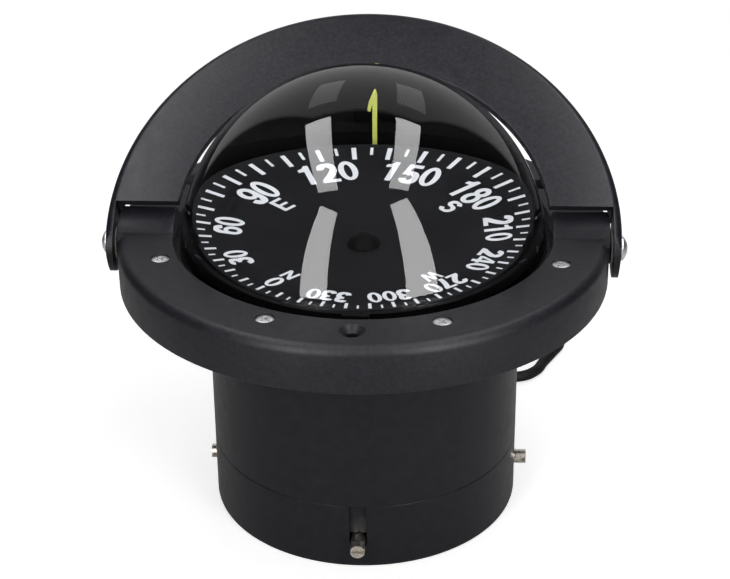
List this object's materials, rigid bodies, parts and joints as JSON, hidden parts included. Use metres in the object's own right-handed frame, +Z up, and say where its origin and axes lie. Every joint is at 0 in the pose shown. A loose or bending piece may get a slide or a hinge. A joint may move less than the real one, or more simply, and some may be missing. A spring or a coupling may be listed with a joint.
{
  "type": "marine compass",
  "caption": "Flush-mount boat compass with a fluid-filled dome, folding sun-shield hood, gimballed dial card, adjusting rods and a night-light cable.",
  "frame": {"origin": "centre of the flange underside, where the compass seats on its panel, on the barrel axis", "axes": "+Z up along the barrel axis towards the dome; -Y is the front that faces the helmsman; +X to the right seen from the front"},
  "size_m": [0.1868, 0.2073, 0.1642],
  "materials": {
    "bezel_plastic": "fine moulded texture, satin",
    "barrel_plastic": "smooth satin",
    "hood_plastic": "fine moulded texture",
    "inner_plastic": "smooth black",
    "dome_clear": "polished clear",
    "seal_rubber": "matt",
    "screw_steel": "bright stainless",
    "brass": "turned",
    "rod_metal": "nickelled and turned",
    "magnet_steel": "ground",
    "ballast_metal": "cast",
    "card_black": "flat black card",
    "lubber_yellow": "yellow",
    "nylon": "natural",
    "jewel": "polished",
    "lamp_clear": "clear",
    "cable_black": "satin sheath",
    "wire_red": "insulated wire"
  },
  "bodies": {
    "case": {"bezel_ring": "bezel_plastic", "housing_can": "barrel_plastic", "bottom_cup": "barrel_plastic", "dome": "dome_clear", "dome_seal": "seal_rubber", "dome_gasket": "seal_rubber", "bowl": "inner_plastic", "expansion_diaphragm": "seal_rubber", "diaphragm_ring": "inner_plastic", "filler_plug": "brass", "filler_seal": "seal_rubber", "bezel_screws": "screw_steel", "gimbal_trunnions": "brass", "pivot_inserts": "brass", "friction_washers": "nylon", "hood_screws": "screw_steel", "compensator_frame": "inner_plastic", "lamp_holder": "inner_plastic", "lamp": "lamp_clear", "lamp_lead": "wire_red", "cable_gland": "cable_black", "lighting_cable": "cable_black", "red_lead": "wire_red", "black_lead": "cable_black"},
    "hood": {"hood": "hood_plastic", "hood_bushes": "nylon"},
    "gimbal": {"gimbal_ring": "inner_plastic", "lubber_line": "lubber_yellow", "cradle_pins": "brass"},
    "cradle": {"cradle": "inner_plastic", "pivot_post": "brass", "pivot_pin": "screw_steel", "ballast": "ballast_metal"},
    "card": {"dial_card": "card_black", "card_hub": "inner_plastic", "jewel_cup": "jewel", "card_magnets": "magnet_steel"},
    "athwart_adjuster": {"athwart_rod": "rod_metal", "athwart_magnet": "magnet_steel"},
    "fore_aft_adjuster": {"fore_aft_rod": "rod_metal", "fore_aft_magnet": "magnet_steel"}
  },
  "joints": [
    {"name": "hood_hinge", "type": "hinge", "parent": "case", "child": "hood", "pos_m": [0, -0.002, 0.0108], "axis": [1, 0, 0], "range_deg": [-35.6, 64.4]},
    {"name": "gimbal_roll", "type": "hinge", "parent": "case", "child": "gimbal", "pos_m": [0, 0, 0.009], "axis": [0, 1, 0], "range_deg": [-25, 25]},
    {"name": "cradle_pitch", "type": "hinge", "parent": "gimbal", "child": "cradle", "pos_m": [0, 0, 0.009], "axis": [1, 0, 0], "range_deg": [-25, 25]},
    {"name": "card_spin", "type": "hinge", "parent": "cradle", "child": "card", "pos_m": [0, 0, 0.009], "axis": [0, 0, 1], "continuous": true},
    {"name": "athwart_rod_turn", "type": "hinge", "parent": "case", "child": "athwart_adjuster", "pos_m": [0, 0, -0.0784], "axis": [1, 0, 0], "continuous": true},
    {"name": "fore_aft_rod_turn", "type": "hinge", "parent": "case", "child": "fore_aft_adjuster", "pos_m": [0, 0, -0.0794], "axis": [0, 1, 0], "continuous": true}
  ]
}
